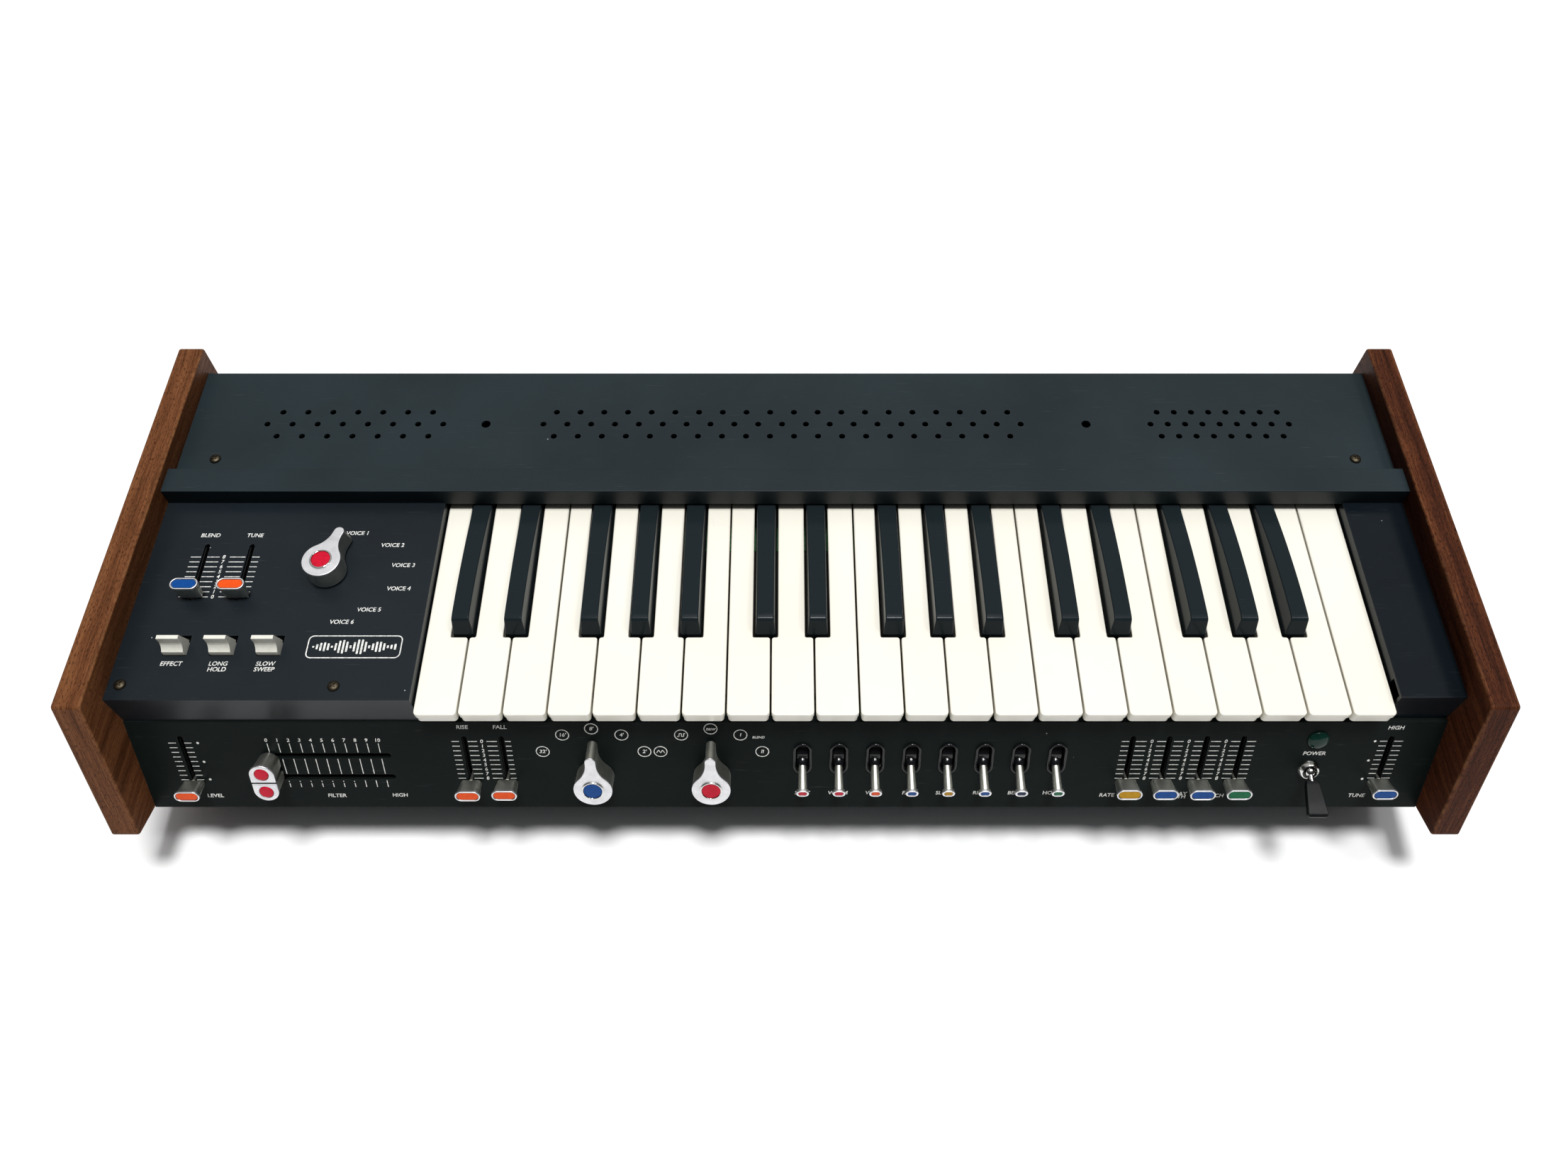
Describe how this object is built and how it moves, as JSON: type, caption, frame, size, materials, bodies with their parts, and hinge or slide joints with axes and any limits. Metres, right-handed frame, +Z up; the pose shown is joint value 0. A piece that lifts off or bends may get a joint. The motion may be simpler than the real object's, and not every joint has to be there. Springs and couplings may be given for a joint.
{
  "type": "analogue synthesizer",
  "caption": "Vintage keyboard synthesizer: wood cheeks, black case, ivory and black keys, knobs, levers and sliders on a side desk and a sloped front panel.",
  "frame": {"origin": "on the floor under the middle of the case: bottom centre of the bounding box", "axes": "+X along the keyboard to the treble end, +Y from the player to the back, +Z up"},
  "size_m": [0.744, 0.2798, 0.1395],
  "materials": {
    "walnut": "mahogany-brown veneer, satin lacquer, pale worn corners",
    "black_case_paint": "satin black paint on folded steel",
    "black_gloss_paint": "smoother black paint",
    "black_panel_paint": "satin black panel paint with white screen print",
    "dark_steel": "dark painted pressed steel",
    "circuit_board": "green laminate with parts and a transformer",
    "bright_metal": "plated bushes, nuts and track cases",
    "dull_brass": "bronzed screws",
    "foot_rubber": "black rubber",
    "satin_metal": "satin silver knob top",
    "smoked_chrome": "dark mirror-plated slider body with a pale rim",
    "lever_chrome": "chrome",
    "ivory_paddle": "ivory plastic",
    "black_lever": "black plastic sleeve",
    "white_key": "ivory-white plastic",
    "black_key": "gloss black plastic",
    "panel_print": "white screen-printed scales and lettering",
    "orange_inset": "orange plastic inset",
    "red_inset": "red plastic inset",
    "blue_inset": "blue plastic inset",
    "yellow_inset": "yellow plastic inset",
    "green_inset": "green plastic inset",
    "lamp_lens": "dark green lamp lens"
  },
  "bodies": {
    "case": {"left_cheek": "walnut", "right_cheek": "walnut", "bottom_tray": "black_case_paint", "top_cover": "black_case_paint", "nose_rail": "black_gloss_paint", "front_panel": "black_panel_paint", "control_panel": "black_panel_paint", "end_block": "black_gloss_paint", "key_frame": "dark_steel", "electronics": "circuit_board", "panel_hardware": "bright_metal", "case_screws": "dull_brass", "rubber_feet": "foot_rubber"},
    "voice_selector_knob": {"voice_selector_knob": "satin_metal"},
    "footage_selector_knob": {"footage_selector_knob": "satin_metal"},
    "waveform_selector_knob": {"waveform_selector_knob": "satin_metal"},
    "upper_filter_slider": {"upper_filter_slider": "smoked_chrome"},
    "lower_filter_slider": {"lower_filter_slider": "smoked_chrome"},
    "desk_sliders": {"desk_sliders": "smoked_chrome"},
    "front_sliders": {"front_sliders": "smoked_chrome"},
    "tone_levers": {"tone_levers": "lever_chrome"},
    "effect_paddles": {"effect_paddles": "ivory_paddle"},
    "power_toggle": {"power_toggle": "black_lever"},
    "key_c1": {"key_c1": "white_key"},
    "key_cs1": {"key_cs1": "black_key"},
    "key_d1": {"key_d1": "white_key"},
    "key_ds1": {"key_ds1": "black_key"},
    "key_e1": {"key_e1": "white_key"},
    "key_f1": {"key_f1": "white_key"},
    "key_fs1": {"key_fs1": "black_key"},
    "key_g1": {"key_g1": "white_key"},
    "key_gs1": {"key_gs1": "black_key"},
    "key_a1": {"key_a1": "white_key"},
    "key_as1": {"key_as1": "black_key"},
    "key_b1": {"key_b1": "white_key"},
    "key_c2": {"key_c2": "white_key"},
    "key_cs2": {"key_cs2": "black_key"},
    "key_d2": {"key_d2": "white_key"},
    "key_ds2": {"key_ds2": "black_key"},
    "key_e2": {"key_e2": "white_key"},
    "key_f2": {"key_f2": "white_key"},
    "key_fs2": {"key_fs2": "black_key"},
    "key_g2": {"key_g2": "white_key"},
    "key_gs2": {"key_gs2": "black_key"},
    "key_a2": {"key_a2": "white_key"},
    "key_as2": {"key_as2": "black_key"},
    "key_b2": {"key_b2": "white_key"},
    "key_c3": {"key_c3": "white_key"},
    "key_cs3": {"key_cs3": "black_key"},
    "key_d3": {"key_d3": "white_key"},
    "key_ds3": {"key_ds3": "black_key"},
    "key_e3": {"key_e3": "white_key"},
    "key_f3": {"key_f3": "white_key"},
    "key_fs3": {"key_fs3": "black_key"},
    "key_g3": {"key_g3": "white_key"},
    "key_gs3": {"key_gs3": "black_key"},
    "key_a3": {"key_a3": "white_key"},
    "key_as3": {"key_as3": "black_key"},
    "key_b3": {"key_b3": "white_key"},
    "key_c4": {"key_c4": "white_key"}
  },
  "joints": [
    {"name": "voice_selector_turn", "type": "hinge", "parent": "case", "child": "voice_selector_knob", "pos_m": [-0.2545, -0.0145, 0.123], "axis": [0, 0, 1], "range_deg": [-150, 0]},
    {"name": "footage_selector_turn", "type": "hinge", "parent": "case", "child": "footage_selector_knob", "pos_m": [-0.1052, -0.10988, 0.0652], "axis": [0, -0.9082, 0.4185], "range_deg": [-60, 60]},
    {"name": "waveform_selector_turn", "type": "hinge", "parent": "case", "child": "waveform_selector_knob", "pos_m": [-0.0406, -0.10988, 0.0652], "axis": [0, -0.9082, 0.4185], "range_deg": [-60, 60]},
    {"name": "upper_filter_slide", "type": "slide", "parent": "case", "child": "upper_filter_slider", "axis": [1, 0, 0], "range_m": [0, 0.063]},
    {"name": "lower_filter_slide", "type": "slide", "parent": "case", "child": "lower_filter_slider", "axis": [1, 0, 0], "range_m": [0, 0.063]},
    {"name": "desk_slide", "type": "slide", "parent": "case", "child": "desk_sliders", "axis": [0, 1, 0], "range_m": [0, 0.0305]},
    {"name": "front_slide", "type": "slide", "parent": "case", "child": "front_sliders", "axis": [0, 0.4185, 0.9082], "range_m": [0, 0.0282]},
    {"name": "tone_lever_flip", "type": "hinge", "parent": "case", "child": "tone_levers", "pos_m": [0.0794, -0.09603, 0.07136], "axis": [1, 0, 0], "range_deg": [-64, 0]},
    {"name": "effect_paddle_rock", "type": "hinge", "parent": "case", "child": "effect_paddles", "pos_m": [-0.3014, -0.0624, 0.116], "axis": [1, 0, 0], "range_deg": [-18, 0]},
    {"name": "power_toggle_flip", "type": "hinge", "parent": "case", "child": "power_toggle", "pos_m": [0.2896, -0.11015, 0.06939], "axis": [1, 0, 0], "range_deg": [-50, 0]},
    {"name": "key_c1_press", "type": "hinge", "parent": "case", "child": "key_c1", "pos_m": [-0.18926, 0.072, 0.106], "axis": [1, 0, 0], "range_deg": [0, 2.8], "stiffness_Nm_per_rad": 0.6, "springref_deg": -6.02},
    {"name": "key_cs1_press", "type": "hinge", "parent": "case", "child": "key_cs1", "pos_m": [-0.17581, 0.072, 0.106], "axis": [1, 0, 0], "range_deg": [0, 2.8], "stiffness_Nm_per_rad": 0.6, "springref_deg": -6.02},
    {"name": "key_d1_press", "type": "hinge", "parent": "case", "child": "key_d1", "pos_m": [-0.16155, 0.072, 0.106], "axis": [1, 0, 0], "range_deg": [0, 2.8], "stiffness_Nm_per_rad": 0.6, "springref_deg": -6.02},
    {"name": "key_ds1_press", "type": "hinge", "parent": "case", "child": "key_ds1", "pos_m": [-0.14729, 0.072, 0.106], "axis": [1, 0, 0], "range_deg": [0, 2.8], "stiffness_Nm_per_rad": 0.6, "springref_deg": -6.02},
    {"name": "key_e1_press", "type": "hinge", "parent": "case", "child": "key_e1", "pos_m": [-0.13327, 0.072, 0.106], "axis": [1, 0, 0], "range_deg": [0, 2.8], "stiffness_Nm_per_rad": 0.6, "springref_deg": -6.02},
    {"name": "key_f1_press", "type": "hinge", "parent": "case", "child": "key_f1", "pos_m": [-0.11903, 0.072, 0.106], "axis": [1, 0, 0], "range_deg": [0, 2.8], "stiffness_Nm_per_rad": 0.6, "springref_deg": -6.02},
    {"name": "key_fs1_press", "type": "hinge", "parent": "case", "child": "key_fs1", "pos_m": [-0.10601, 0.072, 0.106], "axis": [1, 0, 0], "range_deg": [0, 2.8], "stiffness_Nm_per_rad": 0.6, "springref_deg": -6.02},
    {"name": "key_g1_press", "type": "hinge", "parent": "case", "child": "key_g1", "pos_m": [-0.09241, 0.072, 0.106], "axis": [1, 0, 0], "range_deg": [0, 2.8], "stiffness_Nm_per_rad": 0.6, "springref_deg": -6.02},
    {"name": "key_gs1_press", "type": "hinge", "parent": "case", "child": "key_gs1", "pos_m": [-0.07881, 0.072, 0.106], "axis": [1, 0, 0], "range_deg": [0, 2.8], "stiffness_Nm_per_rad": 0.6, "springref_deg": -6.02},
    {"name": "key_a1_press", "type": "hinge", "parent": "case", "child": "key_a1", "pos_m": [-0.0653, 0.072, 0.106], "axis": [1, 0, 0], "range_deg": [0, 2.8], "stiffness_Nm_per_rad": 0.6, "springref_deg": -6.02},
    {"name": "key_as1_press", "type": "hinge", "parent": "case", "child": "key_as1", "pos_m": [-0.0518, 0.072, 0.106], "axis": [1, 0, 0], "range_deg": [0, 2.8], "stiffness_Nm_per_rad": 0.6, "springref_deg": -6.02},
    {"name": "key_b1_press", "type": "hinge", "parent": "case", "child": "key_b1", "pos_m": [-0.03842, 0.072, 0.106], "axis": [1, 0, 0], "range_deg": [0, 2.8], "stiffness_Nm_per_rad": 0.6, "springref_deg": -6.02},
    {"name": "key_c2_press", "type": "hinge", "parent": "case", "child": "key_c2", "pos_m": [-0.02441, 0.072, 0.106], "axis": [1, 0, 0], "range_deg": [0, 2.8], "stiffness_Nm_per_rad": 0.6, "springref_deg": -6.02},
    {"name": "key_cs2_press", "type": "hinge", "parent": "case", "child": "key_cs2", "pos_m": [-0.01096, 0.072, 0.106], "axis": [1, 0, 0], "range_deg": [0, 2.8], "stiffness_Nm_per_rad": 0.6, "springref_deg": -6.02},
    {"name": "key_d2_press", "type": "hinge", "parent": "case", "child": "key_d2", "pos_m": [0.0033, 0.072, 0.106], "axis": [1, 0, 0], "range_deg": [0, 2.8], "stiffness_Nm_per_rad": 0.6, "springref_deg": -6.02},
    {"name": "key_ds2_press", "type": "hinge", "parent": "case", "child": "key_ds2", "pos_m": [0.01756, 0.072, 0.106], "axis": [1, 0, 0], "range_deg": [0, 2.8], "stiffness_Nm_per_rad": 0.6, "springref_deg": -6.02},
    {"name": "key_e2_press", "type": "hinge", "parent": "case", "child": "key_e2", "pos_m": [0.03158, 0.072, 0.106], "axis": [1, 0, 0], "range_deg": [0, 2.8], "stiffness_Nm_per_rad": 0.6, "springref_deg": -6.02},
    {"name": "key_f2_press", "type": "hinge", "parent": "case", "child": "key_f2", "pos_m": [0.04582, 0.072, 0.106], "axis": [1, 0, 0], "range_deg": [0, 2.8], "stiffness_Nm_per_rad": 0.6, "springref_deg": -6.02},
    {"name": "key_fs2_press", "type": "hinge", "parent": "case", "child": "key_fs2", "pos_m": [0.05884, 0.072, 0.106], "axis": [1, 0, 0], "range_deg": [0, 2.8], "stiffness_Nm_per_rad": 0.6, "springref_deg": -6.02},
    {"name": "key_g2_press", "type": "hinge", "parent": "case", "child": "key_g2", "pos_m": [0.07244, 0.072, 0.106], "axis": [1, 0, 0], "range_deg": [0, 2.8], "stiffness_Nm_per_rad": 0.6, "springref_deg": -6.02},
    {"name": "key_gs2_press", "type": "hinge", "parent": "case", "child": "key_gs2", "pos_m": [0.08604, 0.072, 0.106], "axis": [1, 0, 0], "range_deg": [0, 2.8], "stiffness_Nm_per_rad": 0.6, "springref_deg": -6.02},
    {"name": "key_a2_press", "type": "hinge", "parent": "case", "child": "key_a2", "pos_m": [0.09955, 0.072, 0.106], "axis": [1, 0, 0], "range_deg": [0, 2.8], "stiffness_Nm_per_rad": 0.6, "springref_deg": -6.02},
    {"name": "key_as2_press", "type": "hinge", "parent": "case", "child": "key_as2", "pos_m": [0.11305, 0.072, 0.106], "axis": [1, 0, 0], "range_deg": [0, 2.8], "stiffness_Nm_per_rad": 0.6, "springref_deg": -6.02},
    {"name": "key_b2_press", "type": "hinge", "parent": "case", "child": "key_b2", "pos_m": [0.12643, 0.072, 0.106], "axis": [1, 0, 0], "range_deg": [0, 2.8], "stiffness_Nm_per_rad": 0.6, "springref_deg": -6.02},
    {"name": "key_c3_press", "type": "hinge", "parent": "case", "child": "key_c3", "pos_m": [0.14044, 0.072, 0.106], "axis": [1, 0, 0], "range_deg": [0, 2.8], "stiffness_Nm_per_rad": 0.6, "springref_deg": -6.02},
    {"name": "key_cs3_press", "type": "hinge", "parent": "case", "child": "key_cs3", "pos_m": [0.15389, 0.072, 0.106], "axis": [1, 0, 0], "range_deg": [0, 2.8], "stiffness_Nm_per_rad": 0.6, "springref_deg": -6.02},
    {"name": "key_d3_press", "type": "hinge", "parent": "case", "child": "key_d3", "pos_m": [0.16815, 0.072, 0.106], "axis": [1, 0, 0], "range_deg": [0, 2.8], "stiffness_Nm_per_rad": 0.6, "springref_deg": -6.02},
    {"name": "key_ds3_press", "type": "hinge", "parent": "case", "child": "key_ds3", "pos_m": [0.18241, 0.072, 0.106], "axis": [1, 0, 0], "range_deg": [0, 2.8], "stiffness_Nm_per_rad": 0.6, "springref_deg": -6.02},
    {"name": "key_e3_press", "type": "hinge", "parent": "case", "child": "key_e3", "pos_m": [0.19643, 0.072, 0.106], "axis": [1, 0, 0], "range_deg": [0, 2.8], "stiffness_Nm_per_rad": 0.6, "springref_deg": -6.02},
    {"name": "key_f3_press", "type": "hinge", "parent": "case", "child": "key_f3", "pos_m": [0.21067, 0.072, 0.106], "axis": [1, 0, 0], "range_deg": [0, 2.8], "stiffness_Nm_per_rad": 0.6, "springref_deg": -6.02},
    {"name": "key_fs3_press", "type": "hinge", "parent": "case", "child": "key_fs3", "pos_m": [0.22369, 0.072, 0.106], "axis": [1, 0, 0], "range_deg": [0, 2.8], "stiffness_Nm_per_rad": 0.6, "springref_deg": -6.02},
    {"name": "key_g3_press", "type": "hinge", "parent": "case", "child": "key_g3", "pos_m": [0.23729, 0.072, 0.106], "axis": [1, 0, 0], "range_deg": [0, 2.8], "stiffness_Nm_per_rad": 0.6, "springref_deg": -6.02},
    {"name": "key_gs3_press", "type": "hinge", "parent": "case", "child": "key_gs3", "pos_m": [0.25089, 0.072, 0.106], "axis": [1, 0, 0], "range_deg": [0, 2.8], "stiffness_Nm_per_rad": 0.6, "springref_deg": -6.02},
    {"name": "key_a3_press", "type": "hinge", "parent": "case", "child": "key_a3", "pos_m": [0.2644, 0.072, 0.106], "axis": [1, 0, 0], "range_deg": [0, 2.8], "stiffness_Nm_per_rad": 0.6, "springref_deg": -6.02},
    {"name": "key_as3_press", "type": "hinge", "parent": "case", "child": "key_as3", "pos_m": [0.2779, 0.072, 0.106], "axis": [1, 0, 0], "range_deg": [0, 2.8], "stiffness_Nm_per_rad": 0.6, "springref_deg": -6.02},
    {"name": "key_b3_press", "type": "hinge", "parent": "case", "child": "key_b3", "pos_m": [0.29128, 0.072, 0.106], "axis": [1, 0, 0], "range_deg": [0, 2.8], "stiffness_Nm_per_rad": 0.6, "springref_deg": -6.02},
    {"name": "key_c4_press", "type": "hinge", "parent": "case", "child": "key_c4", "pos_m": [0.31002, 0.072, 0.106], "axis": [1, 0, 0], "range_deg": [0, 2.8], "stiffness_Nm_per_rad": 0.6, "springref_deg": -6.02}
  ]
}
